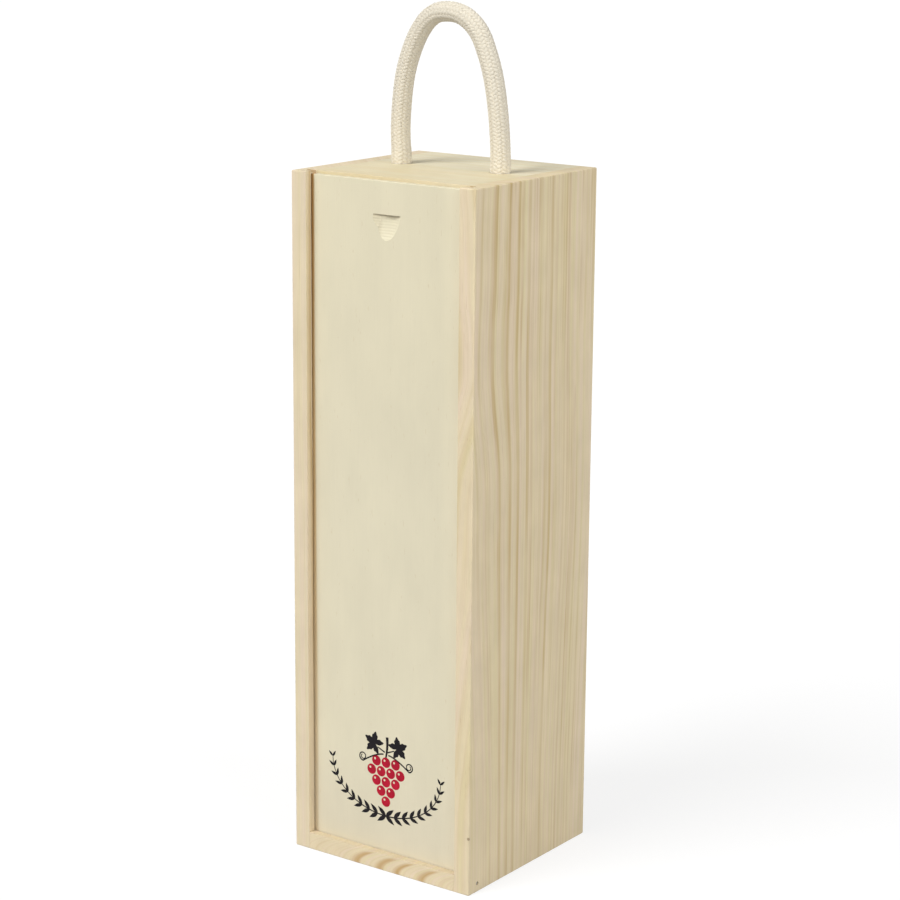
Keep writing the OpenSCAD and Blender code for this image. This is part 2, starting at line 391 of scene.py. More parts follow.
def tied_knot(thick, take_up=10.8, steps=600):
    """The centre line of an overhand knot along Z. A loose one is drawn tight, and where it meets
    itself its turns push each other apart. take_up is the line that a knot uses, in thicknesses."""
    # A trefoil, opened at one place, with a straight lead along Z at each end
    opened = 0.2
    turn = np.linspace(opened - math.pi, math.pi - opened, 300)
    loop = 0.8 * thick * np.stack([-np.sin(3 * turn), np.cos(turn) - 2 * np.cos(2 * turn),
                                   np.sin(turn) + 2 * np.sin(2 * turn)], axis=1)
    lead = np.linspace(2.5 * thick, 0, 20, endpoint=False)[:, None] * (0, 0, 1)
    line = np.concatenate([loop[0] - lead, loop, loop[-1] + lead[::-1]])
    along = np.append(0, np.cumsum(np.linalg.norm(np.diff(line, axis=0), axis=1)))
    # Even steps along it, which stay as long as they are while the ends move apart
    at = np.linspace(0, along[-1], int(along[-1] / (0.35 * thick)))
    line = np.stack([np.interp(at, along, line[:, k]) for k in range(3)], axis=1)
    span = at[1]
    # Neighbours on the line don't push each other
    apart = np.abs(np.subtract.outer(at, at)) > 1.5 * thick
    loose = line[-1, 2] - line[0, 2]
    tight = at[-1] - take_up * thick
    stiffness = 0.05
    push_share = 0.3
    most_push = 0.1 * thick
    for step in range(steps):
        reach = loose + (tight - loose) * min(1, step / (0.6 * steps))
        for _ in range(5):
            line[0, 2] = -reach / 2
            line[-1, 2] = reach / 2
            line[1:-1] += stiffness * (line[:-2] + line[2:] - 2 * line[1:-1])
            gap = line[:, None] - line[None]
            size = np.linalg.norm(gap, axis=2) + 1e-9
            push = np.where(apart & (size < thick), push_share * (thick / size - 1), 0)
            line += np.clip((push[:, :, None] * gap).sum(1), -most_push, most_push)
            for first in (0, 1):
                ahead = line[first + 1::2]
                behind = line[first::2][:len(ahead)]
                run = ahead - behind
                fix = run * (1 - span / np.linalg.norm(run, axis=1, keepdims=True)) / 2
                behind += fix
                ahead -= fix
    return line


knot_line = tied_knot(knot_rope_d)
# The knot's own turns lie off the line of the rope that enters it
turns = knot_line[np.linalg.norm(knot_line[:, :2] - knot_line[-1, :2], axis=1) > knot_rope_d]
knot_line[:, 2] += under_top - knot_clear - knot_rope_d / 2 - turns[:, 2].max()
entry = knot_line[knot_line[:, 2] > under_top][0].copy()
knot_line = knot_line[(knot_line[:, 2] > tail_low_z) & (knot_line[:, 2] < under_top + board_t / 3)][::-1]
knots = {}
for side, node in ((-1, "rope_knot_left"), (1, "rope_knot_right")):
    # Both are tied the same way, and the right one is turned half round, clear of the side board
    line = smooth_line([(side * (hole_x - (x - entry[0])), hole_y - side * (y - entry[1]), z)
                        for x, y, z in knot_line.tolist()], 3)
    girths = [np.interp(p.z, [tail_low_z, tail_low_z + 8 * MM], [0.98, squeezed]) for p in line]
    knots[side] = grown(node + "_tied", braid, braid_sizes, [(line, girths)])
    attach(knots[side], "box")
    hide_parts(node)

# The side boards
# Two upright boards of pine, 9 mm thick, planed and sanded but left raw. Each has a groove near its
# front edge, open at the top, that the lid slides in, and a stopped groove for the back panel.
lid_low, lid_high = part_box("sliding_lid")
panel_low, panel_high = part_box("back_panel")
side_low, side_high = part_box("right_side_board")
brads_low, brads_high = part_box("bottom_brads")
# Play on each face of what slides or sits in a groove
lid_play = 0.4 * MM
panel_play = 0.15 * MM
lid_groove_y = (lid_low.y - lid_play, lid_high.y + lid_play)
panel_groove_y = (panel_low.y - panel_play, panel_high.y + panel_play)
groove_deep = 4 * MM
cross_groove_deep = 3 * MM
arris = 0.6 * MM
inner_arris = 0.15 * MM
# A brad's hole: the radii for its head and its shank, and how deep the head's part goes
head_hole_r = 1.03 * MM
shank_hole_r = 0.63 * MM
head_hole_deep = 1.13 * MM
_, brad_y, brad_z = (brads_low + brads_high) / 2
# How far a cutter runs past the face that it opens
past = 2 * MM
# Two places this close are one
hair = 1e-5


def corners(x, y, z):
    """The two corners of a box, from its ranges along X, Y and Z."""
    return list(zip(x, y, z))


def solid(name, shape):
    """A shape as an object."""
    mesh = bpy.data.meshes.new(name)
    shape.to_mesh(mesh)
    shape.free()
    return in_scene(name, mesh)


def block(name, low, high):
    """A box between two corners."""
    shape = bmesh.new()
    bmesh.ops.create_cube(shape, size=1)
    low, high = Vector(low), Vector(high)
    for vert in shape.verts:
        vert.co = [low[i] + (vert.co[i] + 0.5) * (high[i] - low[i]) for i in range(3)]
    return solid(name, shape)


def rod(name, start, end, radius, sides=32):
    """A round cutter between two points."""
    shape = bmesh.new()
    run = Vector(end) - Vector(start)
    bmesh.ops.create_cone(shape, cap_ends=True, segments=sides, radius1=radius, radius2=radius,
                          depth=run.length)
    shape.transform(Matrix.Translation((Vector(start) + Vector(end)) / 2)
                    @ run.to_track_quat("Z", "Y").to_matrix().to_4x4())
    return solid(name, shape)


def settle(made):
    """Turns what a piece's modifiers make into its own mesh."""
    made.data = built(made)
    made.modifiers.clear()


def cut(made, *cutters):
    """Cuts other pieces out of one."""
    for cutter in cutters:
        saw = made.modifiers.new("cut", "BOOLEAN")
        saw.operation = "DIFFERENCE"
        saw.solver = "EXACT"
        saw.object = cutter
    settle(made)
    for cutter in cutters:
        bpy.data.objects.remove(cutter)


def ease(made, outer=arris, inner=inner_arris):
    """Rounds the arrises: the box's outer ones well, and the others a little."""
    shape = bmesh.new()
    shape.from_mesh(made.data)
    bmesh.ops.dissolve_limit(shape, angle_limit=0.01, verts=shape.verts, edges=shape.edges)
    weight = shape.edges.layers.float.new("bevel_weight_edge")
    for edge in shape.edges:
        if edge.calc_face_angle(0) > math.radians(30):
            x, y, z = (edge.verts[0].co + edge.verts[1].co) / 2
            outer_faces = [abs(abs(x) - side_high.x) < hair, abs(abs(y) - side_high.y) < hair,
                           z < hair, z > box_top - hair]
            edge[weight] = 1.0 if sum(outer_faces) > 1 else inner / outer
    shape.to_mesh(made.data)
    shape.free()
    round_off = made.modifiers.new("ease", "BEVEL")
    round_off.limit_method = "WEIGHT"
    round_off.width = outer
    round_off.segments = 3
    settle(made)


def within(place, low, high):
    """Whether a place lies in a box."""
    return all(a - hair < b < c + hair for a, b, c in zip(low, place, high))


def shade(made, material, crisp=None):
    """Flat faces stay flat and rounded ones are shaded smooth, up to a sharp edge. crisp is a box in
    which each flat face meets the rounded ones sharply."""
    shape = bmesh.new()
    shape.from_mesh(made.data)
    for face in shape.faces:
        square = max(abs(part) for part in face.normal) > 0.9999
        face.smooth = not square
    for edge in shape.edges:
        middle = (edge.verts[0].co + edge.verts[1].co) / 2
        apart = crisp and within(middle, *crisp) and len({face.smooth for face in edge.link_faces}) > 1
        edge.smooth = not apart and edge.calc_face_angle(0) < math.radians(35)
    shape.to_mesh(made.data)
    shape.free()
    made.data.materials.clear()
    made.data.materials.append(material)


def mark(made, name, boxes):
    """Gives each face an attribute of 1 in the boxes and 0 elsewhere."""
    layer = made.data.attributes.new(name, "FLOAT", "FACE")
    layer.data.foreach_set("value", [float(any(within(face.center, *box) for box in boxes))
                                     for face in made.data.polygons])


def traced(value, points):
    """What a smooth curve through points of (value, result) gives."""
    starts, results = zip(*points)
    low, high = min(results), max(results)
    curve = put(value.tree, "ShaderNodeFloatCurve", {"Value": stretch(value, starts[0], starts[-1])})
    mapping = curve.node.mapping
    for _ in points[2:]:
        mapping.curves[0].points.new(0.5, 0.5)
    for knot, (start, result) in zip(mapping.curves[0].points, points):
        knot.location = ((start - starts[0]) / (starts[-1] - starts[0]), (result - low) / (high - low))
    mapping.update()
    return stretch(curve, 0.0, 1.0, low, high)


def dyed(colour, *by):
    """A colour whose red, green and blue are each taken times a number."""
    return [part * factor for part, factor in zip(colour, by)]


def pine(name, first, grain, across, rings, drift=(), curl=None, sway=1.0, fine=0.6, quiet=0.1, fall=0.5,
         pinkish=(0.762, 0.630, 0.464), yellowish=(0.735, 0.634, 0.398), late=(0.58, 0.43, 0.22), seed=0.0,
         pin_knot=None, foot_lines=1.0, end_lines=0.3):
    """Raw pine. Its growth rings are counted across the board from its corner first, as (place, width,
    strength) in millimetres: each darkens slowly to the colour late, and ends within the share fall of
    its width. They sway along the grain, drift where the trunk wasn't straight, and curl in the board's
    thickness, on every face alike. curl is the depth of the arcs' middle, their bend, and the depth by
    which they have faded. fine is the strength of the fine lines between them, which are weaker over
    the first millimetres, quiet. The rings' strength is foot_lines where the run along the grain
    starts, and end_lines on a board's ends."""
    made, shader, place = new_material(name)
    tree = place.tree
    place = place - first
    through = Vector(grain).cross(across).normalized()
    run, wide, deep = place.dot(grain), place.dot(across), place.dot(through)

    # Where a place lies among the rings
    swing = noise((run * 0.011, wide * 0.022, deep * 0.03 + seed), 2.0, 0.35)
    ring = wide + (swing - 0.5) * (2 * sway)
    if curl:
        middle_of_arcs, bend, reach = curl
        off = deep - middle_of_arcs
        ring -= off * off * bend
    for by_height, by_place in drift:
        ring -= traced(run, by_height) * traced(wide, by_place)

    # How dark the rings and the fine lines between them are
    dark = 0.0
    for middle, width, strength in rings:
        rise = stretch(ring, middle - 1.8 * width, middle, 0.0, strength, "SMOOTHSTEP")
        end = stretch(ring, middle, middle + fall * width, 1.0, 0.0, "SMOOTHSTEP")
        dark = maths("MAXIMUM", rise * end, dark)
    patchy = noise((run * 0.02, ring * 0.12, seed))
    dark *= stretch(patchy, 0.3, 0.65, 0.6, 1.1) * stretch(run, 0.0, 340.0, foot_lines, 1.0)
    if curl:
        dark *= stretch(maths("ABSOLUTE", off), 0.7 * reach, reach, 1.0, 0.15, "SMOOTHSTEP")
    thin = noise((run * 0.004, ring * 0.6, seed + 3.0), 3.0, 0.6)
    thin = stretch(thin, 0.48, 0.7, 0.0, fine) * (stretch(wide, 0.0, quiet, 0.35, 1.0)
                                                  * stretch(patchy, 0.35, 0.6, 0.35, 1.2))
    at_end = read(tree, "end")
    dark = maths("MINIMUM", dark + thin, 1.0) * stretch(at_end, 0.0, 1.0, 1.0, end_lines)

    # The ground, in bands that follow the rings, with fibres, resin canals and soft clouds
    band = noise((run * 0.005, ring * 0.36, seed + 7.0), 2.0)
    fibre_place = ring * 2.6 * across + (deep * 2.6 * through + run * 0.035 * grain)
    fibre = noise(fibre_place, 3.0, 0.6)
    canal = noise(fibre_place * 0.8 + (seed, 5.0, 9.0), 1.0)
    cloud = noise((place + (seed, seed, 0.0)) * (0.07, 0.07, 0.045), 3.0)
    base = mix(stretch(band, 0.33, 0.67), pinkish, yellowish)
    base *= stretch(fibre, 0.3, 0.7, 0.96, 1.04) * stretch(cloud, 0.3, 0.7, 0.96, 1.04)
    base *= stretch(run, 200.0, 340.0, 1.0, 1.04)
    if curl:
        # The board's upper face, a ledge before the lid, is a little darker
        base *= stretch(maths("ABSOLUTE", off), 0.97 * reach, 0.985 * reach, 1.0, 0.89)
    else:
        end_tint = (0.94, 0.93, 0.89)
        base = mix(at_end, base, end_tint, "MULTIPLY")

    # The rings on it, a knot, and darker faces beside and in the grooves
    base = mix(dark, base, late)
    base = mix(stretch(canal, 0.68, 0.78, 0.0, 0.35), base, dyed(late, 0.8, 0.72, 0.6))
    if pin_knot:
        spot, size = pin_knot
        knot_brown = (0.34, 0.25, 0.15)
        away = maths("DISTANCE", place, Vector(spot) - Vector(first))
        base = mix(stretch(away, size * 0.4, size, 0.9, 0.0, "SMOOTHSTEP"), base, knot_brown)
    # The inner face of each lip is darker towards its top
    rubbed = read(tree, "rubbed") * stretch(run, 60.0, 320.0, 0.05, 1.0)
    lip_recess_tint = (0.79, 0.60, 0.36)
    base = mix(rubbed, base, lip_recess_tint, "MULTIPLY")
    # The sawn faces in the grooves are darker, partly as raw-cut wood and partly as painted shade of the
    # groove
    sawn = read(tree, "sawn")
    base = mix(sawn * 0.8, base, dyed(late, 0.86, 0.82, 0.85))
    saw_marks = maths("SINE", place.dot((1, 0, 1)) * 9.0) * 0.5 * sawn
    fill(shader, {"Base Color": base,
                  "Normal": bump(dark * 0.35 + fibre * 0.65 + saw_marks, 0.35, 0.12 * MM),
                  "Roughness": stretch(dark, 0.0, 1.0, 0.62, 0.5), "Specular IOR Level": 0.3})
    return made


right_pine = pine(
    "pine_right", (55, -51.5, 0), (0, 0, 1), (-0.45, 1, 0),
    [(-1.5, 1.2, 0.12), (5.2, 1.2, 0.3), (11.4, 1.3, 0.4), (23.0, 2.3, 0.85), (32.0, 2.2, 0.87),
     (39.0, 1.9, 0.75), (47.0, 1.7, 0.55), (50.5, 0.9, 0.3), (54.8, 0.9, 0.2), (57.3, 0.9, 0.2),
     (61.4, 1.0, 0.35), (66.0, 1.7, 0.68), (70.8, 0.9, 0.35), (74.5, 0.9, 0.2), (78.2, 1.0, 0.45),
     (81.4, 1.1, 0.45), (84.8, 0.9, 0.2), (89.8, 0.9, 0.2)],
    drift=[([(0, 0), (185, 0), (205, -0.5), (220, -1.9), (235, -4.1), (250, -6.1), (265, -7.2), (280, -7.0),
             (300, -5.9), (335, -5.2), (350, -4.5)],
            [(0, 1), (16, 1), (28, 0.57), (36, 0.42), (45, 0.2), (110, 0.2)]),
           ([(0, 1), (12, 1), (40, 0.95), (70, 0.75), (100, 0.55), (130, 0.35), (160, 0.1), (190, 0),
             (350, 0)],
            [(0, 7.2), (16, 6.9), (25, 3.2), (32, 0.2), (38, -1.3), (45, -1.6), (62, -4.6), (77, -5.8),
             (110, -6)])],
    sway=0.5, quiet=26.0, late=(0.56, 0.41, 0.19), foot_lines=0.6, pin_knot=((54.5, -51.5, 30), 1.1))
left_pine = pine(
    "pine_left", (-46, -51.5, 0), (0, 0, 1), (1, 1, 0),
    [(-7.5, 1.0, 0.12), (-3.8, 1.0, 0.1), (0.0, 1.4, 0.95), (9.0, 1.2, 0.3), (13.5, 1.0, 0.2),
     (19.5, 1.9, 0.7), (26.0, 1.3, 0.45), (30.5, 1.1, 0.35), (38.5, 2.2, 0.8), (47.0, 2.5, 0.9),
     (57.5, 2.6, 0.85), (65.5, 2.1, 0.75), (71.5, 1.5, 0.5), (75.0, 1.0, 0.3), (78.6, 1.1, 0.5),
     (81.8, 0.9, 0.3), (84.6, 0.9, 0.45), (87.5, 0.9, 0.25), (91.0, 0.9, 0.4), (94.5, 0.9, 0.3)],
    drift=[([(0, 6), (200, 3.6), (235, 3.1), (325, 3.3), (350, 3.3)],
            [(-10, 1), (8, 1), (40, 0.4), (110, 0.3)]),
           ([(0, 0), (55, 0.5), (90, 2.3), (120, 5.2), (148, 6.4), (176, 5.4), (208, 2.6), (250, 0.6),
             (350, 0)], [(-10, 0), (12, 0), (32, 0.45), (50, 1), (64, 0.85), (82, 0.3), (110, 0.1)])],
    pinkish=(0.768, 0.642, 0.482), yellowish=(0.748, 0.642, 0.430), sway=0.4, quiet=10.0, seed=4.0)

for side, node, wood in ((1, "right_side_board", right_pine), (-1, "left_side_board", left_pine)):
    inner = side * side_low.x
    outer = side * side_high.x
    groove_x = sorted((inner - side * past, inner + side * groove_deep))
    lid_groove = corners(groove_x, lid_groove_y, (board_t - cross_groove_deep, box_top + past))
    panel_groove = corners(groove_x, panel_groove_y,
                           (board_t - cross_groove_deep, under_top + cross_groove_deep))
    board = block(node + "_wood", *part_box(node))
    cut(board, block("lid_groove", *lid_groove), block("panel_groove", *panel_groove))
    ease(board)
    cut(board,
        rod("head_hole", (outer + side * past, brad_y, brad_z),
            (outer - side * head_hole_deep, brad_y, brad_z), head_hole_r),
        rod("shank_hole", (outer, brad_y, brad_z), (inner - side * past, brad_y, brad_z), shank_hole_r, 20))
    mark(board, "sawn", [lid_groove, panel_groove])
    mark(board, "end", [((-1, -1, z), (1, 1, z)) for z in (0, box_top)])
    mark(board, "rubbed", [((inner, side_low.y, 0), (inner, lid_low.y, box_top))])
    shade(board, wood)
    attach(board, "box")
    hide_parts(node)

# The top board
# A pine board between the sides, behind the lid, its grain running from side to side. It is drilled
# for the rope, and grooved underneath for the back panel.
top_low, top_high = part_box("top_board")
hole_r = 5.3 * MM
top_pine = pine(
    "pine_top", (-46, -43.5, 350), (1, 0, 0), (0, 1, 0.5),
    [(8.0, 30.0, 0.52), (25.0, 4.0, 0.5), (36.0, 50.0, 0.38), (44.0, 4.0, 0.46), (57.0, 4.0, 0.22),
     (65.0, 3.5, 0.28), (74.0, 3.0, 0.22), (83.0, 3.0, 0.35), (93.0, 3.0, 0.3)],
    pinkish=(0.772, 0.695, 0.525), yellowish=(0.745, 0.702, 0.500), late=(0.70, 0.56, 0.29),
    seed=9.0, sway=5.0, fine=0.4, fall=0.35)
panel_groove = corners((top_low.x - past, top_high.x + past), panel_groove_y,
                       (under_top - past, under_top + cross_groove_deep))
board = block("top_board_wood", top_low, top_high)
cut(board, block("panel_groove", *panel_groove))
ease(board)
cut(board, *[rod("rope_hole", (x, hole_y, under_top - past), (x, hole_y, box_top + past), hole_r, 48)
             for x in (-hole_x, hole_x)])
mark(board, "sawn", [panel_groove])
shade(board, top_pine)
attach(board, "box")
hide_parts("top_board")

# The bottom board
# A pine board between the sides, its end grain at the front, where broad rings show as arcs. Two
# grooves cross it, for the lid's foot and for the back panel, and a brad enters each side of it.
bottom_low, bottom_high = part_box("bottom_board")
# From the middle of the box to the end of a brad's hole
brad_end_x = side_low.x - 17 * MM
bottom_pine = pine(
    "pine_bottom", (-46, -51.5, 0), (0, 1, 0), (1, 0, 0),
    [(5.0, 1.5, 0.15), (17.0, 1.6, 0.12), (31.0, 3.0, 1.0), (46.0, 3.0, 1.0), (57.0, 2.4, 0.9),
     (72.0, 2.8, 1.0), (84.0, 1.6, 0.2), (93.0, 1.6, 0.2)],
    curl=(-0.4, 0.16, 8.7), late=(0.53, 0.345, 0.15), seed=13.0, sway=0.6, fine=0.22, fall=1.0,
    end_lines=1.0)
cross_grooves = [corners((bottom_low.x - past, bottom_high.x + past), groove_y,
                         (board_t - cross_groove_deep, board_t + past))
                 for groove_y in (lid_groove_y, panel_groove_y)]
board = block("bottom_board_wood", bottom_low, bottom_high)
cut(board, *[block("cross_groove", *groove) for groove in cross_grooves])
ease(board)
cut(board, *[rod("shank_hole", (side * (side_low.x + past), brad_y, brad_z),
                 (side * brad_end_x, brad_y, brad_z), shank_hole_r, 20) for side in (-1, 1)])
mark(board, "sawn", cross_grooves)
shade(board, bottom_pine)
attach(board, "box")
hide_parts("bottom_board")

# The brads
# Two steel wire nails, one through each side board into the bottom board, driven a little below the
# surface.


def wire_steel():
    """Drawn steel wire, dulled, with fine scratches."""
    made, shader, place = new_material("drawn_steel")
    scratch = noise(place * (9.0, 3.0, 3.0), 3.0)
    fill(shader, {"Base Color": mix(scratch, (0.30, 0.28, 0.25), (0.52, 0.50, 0.46)),
                  "Roughness": stretch(scratch, 0.3, 0.7, 0.35, 0.55), "Metallic": 1.0})
    return made


steel = wire_steel()
for held in frame["nodes"]["bottom_brads"].material_slots:
    held.material = steel

# The back panel
# A thin panel of three-ply, slid into its grooves before the top board was fixed. Its peeled face
# veneer shows the rings as long tongues.


def veneer():
    """Peeled veneer: the contours of a slow noise, drawn out along the grain."""
    made, shader, place = new_material("peeled_veneer")
    contours = 13.0
    level = maths("FRACT", noise(place * (0.028, 0.012, 0.0032), 2.0, 0.3) * contours)
    line = stretch(level, 0.45, 0.94, kind="SMOOTHSTEP") * stretch(level, 0.94, 1.0, 1.0, 0.0)
    fibre = noise(place * (2.2, 0.6, 0.04), 3.0, 0.6)
    cloud = noise(place * (0.05, 0.05, 0.02), 3.0)
    base = mix(stretch(cloud, 0.35, 0.65), (0.760, 0.665, 0.480), (0.735, 0.650, 0.445))
    base *= stretch(fibre, 0.3, 0.7, 0.95, 1.05)
    fill(shader, {"Base Color": mix(line * 0.5, base, (0.60, 0.45, 0.26)),
                  "Normal": bump(fibre, 0.3, 0.08 * MM), "Roughness": 0.6, "Specular IOR Level": 0.3})
    return made


panel = block("back_panel_ply", panel_low, panel_high)
ease(panel)
shade(panel, veneer())
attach(panel, "box")
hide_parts("back_panel")

# The sliding lid
# A thin panel of pale, close-grained wood, sanded smooth. A thumb notch near its top, cut by two
# passes of a round gouge against a stop, gives a hold to slide it by.
notch_w = 16.5 * MM
notch_h = 12.5 * MM
notch_deep = 1.9 * MM
notch_top_z = lid_high.z - 16 * MM
# The gouge's first pass ran full depth from first_pass_x to the notch's right side. Its second one,
# half as high and less than half as deep, ran from the left side to second_pass_x.
first_pass_x = -5 * MM
second_pass_x = 3 * MM
notch_box = ((-notch_w / 2, lid_low.y, notch_top_z - notch_h),
             (notch_w / 2, lid_low.y + notch_deep, notch_top_z))


def lid_wood(stop_z):
    """Close-grained pale wood: hardly any figure, faint fibres, soft mottling and a few flecks, with
    painted shade beside each lip of the side boards. The gouge left ripples in the notch, and a painted
    shadow darkens the wood just under the notch's top edge, whose height is given."""
    made, shader, place = new_material("lid_face")
    parts = put(place.tree, "ShaderNodeSeparateXYZ", {0: place})
    x, z = parts["X"], parts["Z"]
    # Painted shade darkens the lid towards its foot; towards its head the wood is paler and warmer
    foot_shade_tone = (0.700, 0.636, 0.480)
    middle_tone = (0.740, 0.682, 0.507)
    head_tone = (0.775, 0.712, 0.520)
    base = mix(stretch(z, 18.0, 60.0), foot_shade_tone, middle_tone)
    base = mix(stretch(z, 200.0, 340.0), base, head_tone)
    cloud = noise(place * (0.05, 0.05, 0.022), 3.0, 0.55)
    fibre = noise(place * (2.4, 2.4, 0.05), 3.0)
    base *= stretch(fibre, 0.3, 0.7, 0.992, 1.008) * stretch(cloud, 0.3, 0.7, 0.972, 1.028)
    # Painted light: the lid is lighter towards the right lip, against the shade that this lip casts
    base *= stretch(x, 30.0, 40.0, 1.0, 1.08, "SMOOTHSTEP")
    fleck = noise(place * (1.1, 1.1, 0.22), 1.0)
    fleck_tone = (0.64, 0.54, 0.34)
    base = mix(stretch(fleck, 0.72, 0.80, 0.0, 0.4), base, fleck_tone)
    # Painted shade beside each lip: a thin dark line on the wood, a little wider towards the foot and darkest
    # towards the head
    side_on = maths("ABSOLUTE", x)
    rubbed = stretch(side_on - stretch(z, 60.0, 260.0, 43.0, 43.9), 0.0, 1.5, kind="SMOOTHSTEP")
    rubbed *= stretch(side_on, 46.3, 47.3, 1.0, 0.2)
    painted_shade_tint = (0.86, 0.66, 0.45)
    head_painted_shade_tint = (0.62, 0.48, 0.32)
    base = mix(rubbed * stretch(z, 20.0, 190.0, 0.4, 1.0), base, painted_shade_tint, "MULTIPLY")
    base = mix(rubbed * stretch(z, 210.0, 320.0), base, head_painted_shade_tint, "MULTIPLY")
    # The notch is bare wood, painted lighter as painted light on its floor, and darker on its left as painted
    # shade on the flank, where the second pass was shallow
    gouged = read(place.tree, "gouged")
    base *= gouged * 0.05 + 1.0
    left_flank_shade_tint = (0.88, 0.865, 0.84)
    stop_shadow_tone = (0.40, 0.32, 0.20)
    base = mix(gouged * stretch(x, -5.0, -3.0, 1.0, 0.0), base, left_flank_shade_tint, "MULTIPLY")
    # A painted shadow of the notch's top edge darkens the wood just under it
    base = mix(gouged * stretch(z, stop_z - 1.2, stop_z - 0.2, 0.0, 0.6), base, stop_shadow_tone)
    ripple_pitch = 1.4
    ripples = maths("SINE", z * (math.tau / ripple_pitch)) * gouged
    fill(shader, {"Base Color": base, "Normal": bump(ripples * 2.5 + fibre * 0.5, 0.25, 0.06 * MM),
                  "Roughness": 0.55, "Specular IOR Level": 0.3})
    return made


def scoop(left, right, height, deep):
    """What one pass of the gouge takes, which ran a little aslant: one end of an egg whose middle is
    three depths before the lid's face."""
    shape = bmesh.new()
    bmesh.ops.create_uvsphere(shape, u_segments=96, v_segments=64, radius=1)
    bmesh.ops.bisect_plane(shape, geom=shape.verts[:] + shape.edges[:] + shape.faces[:], plane_co=(0, 0, 0),
                           plane_no=(0, 0, 1), clear_outer=True)
    bmesh.ops.holes_fill(shape, edges=[edge for edge in shape.edges if edge.is_boundary])
    opening = math.sqrt(1 - (3 / 4) ** 2)
    aslant = Matrix(((1, 0, 0.16, 0), (0, 1, 0, 0), (0, 0, 1, 0), (0, 0, 0, 1)))
    shape.transform(Matrix.Translation(((left + right) / 2, lid_low.y - 3 * deep, notch_top_z)) @ aslant
                    @ Matrix.Diagonal(((right - left) / 2 / opening, 4 * deep, height / opening, 1)))
    return solid("gouge", shape)


lid = block("sliding_lid_wood", lid_low, lid_high)
ease(lid, inner=2 * inner_arris)
cut(lid, scoop(first_pass_x, notch_w / 2, notch_h, notch_deep),
    scoop(-notch_w / 2, second_pass_x, notch_h * 0.5, notch_deep * 0.45))
mark(lid, "gouged", [notch_box])
shade(lid, lid_wood(notch_top_z / MM), notch_box)
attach(lid, "lid")
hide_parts("sliding_lid")

# The printed ornament
# A bunch of grapes between two sprays of leaves, printed low on the lid in red and black ink, which
# stands a hair's breadth proud of the wood and leaves its coarsest fibres bare.
ink_thick = 0.06 * MM
# The figures are drawn in millimetres: X, and the height above the box's foot
berry_gap = 6.0
berry_r = 2.75
shine_r = 0.6
shine_off = 0.9
bunch_rows = (3, 4, 3, 2, 1)
bunch_top_z = 56
vine_leaf_r = 6.2
vine_leaf_x, vine_leaf_z = 7.6, 65
vine_leaf_lean = 62
coil_x, coil_z = 14.5, 56.5
leaf_len = 6.6
leaf_half_w = 1.15
spray_reach = 34
spray_rise = 24.5
spray_low_z = 27.5


def ink(name, colour, bare=0.70):
    """Printing ink on wood, which shows through where a fibre took none."""
    made, shader, place = new_material(name)
    fibre = noise(place * (3.2, 3.2, 0.16), 3.0, 0.6)
    cloud = noise(place * (0.25, 0.25, 0.2), 2.0)
    tone = stretch(cloud, 0.3, 0.7, 0.85, 1.2) * colour
    wood = (0.74, 0.66, 0.49)
    fill(shader, {"Base Color": mix(stretch(fibre, bare, bare + 0.08, 0.0, 0.35), tone, wood),
                  "Roughness": 0.8, "Specular IOR Level": 0.1})
    return made


def stamp(shape, outer, bare=None):
    """Adds a flat figure to a print: an outline in millimetres, or all of it but a bare spot."""
    rim, *spot = [[shape.verts.new((x * MM, lid_low.y, z * MM)) for x, z in ring]
                  for ring in (outer, bare) if ring]
    if bare:
        for i in range(len(rim)):
            shape.faces.new([rim[i - 1], rim[i], spot[0][i], spot[0][i - 1]])
    else:
        shape.faces.new(rim)


def pressed(name, shape, material):
    """A print's flat figures, given the ink's thickness."""
    bmesh.ops.recalc_face_normals(shape, faces=shape.faces)
    made = solid(name, shape)
    body = made.modifiers.new("ink", "SOLIDIFY")
    body.thickness = ink_thick
    body.offset = 0
    settle(made)
    made.data.materials.append(material)
    return made


def rounded(middle, radius, count=32):
    """Points on a circle, or on what a function of the angle gives as its radius."""
    reach = radius if callable(radius) else lambda angle: radius
    angles = [math.tau * i / count for i in range(count)]
    return [(middle[0] + reach(t) * math.cos(t), middle[1] + reach(t) * math.sin(t)) for t in angles]


def ribbon(line, widths):
    """The outline of a flat band along a line."""
    line = [Vector((*p, 0)) for p in line]
    left, right = [], []
    for i, place in enumerate(line):
        ahead = (line[min(i + 1, len(line) - 1)] - line[max(i - 1, 0)]).normalized()
        half = Vector((-ahead.y, ahead.x, 0)) * np.interp(i / (len(line) - 1), [0, 1], widths) / 2
        left.append((place + half)[:2])
        right.append((place - half)[:2])
    return left + right[::-1]


def vine_leaf(angle):
    """A vine leaf's radius at an angle from its tip: five lobes, and a notch at its stalk."""
    lobes = 0.74 + 0.20 * math.cos(5 * angle) + 0.06 * math.cos(15 * angle)
    stalk = math.cos(angle / 2) ** 2
    return vine_leaf_r * lobes * (1 - 0.6 * math.exp(-stalk * 60))


red_ink = ink("red_ink", (0.43, 0.012, 0.034))
black_ink = ink("black_ink", (0.016, 0.014, 0.016))
bunch = bmesh.new()
for row, count in enumerate(bunch_rows):
    for berry in range(count):
        middle = (berry_gap * (berry - (count - 1) / 2), bunch_top_z - row * berry_gap * math.sqrt(0.75))
        shine = (middle[0] - shine_off, middle[1] + shine_off)
        stamp(bunch, rounded(middle, berry_r), rounded(shine, shine_r))
grapes = pressed("ornament_grapes", bunch, red_ink)

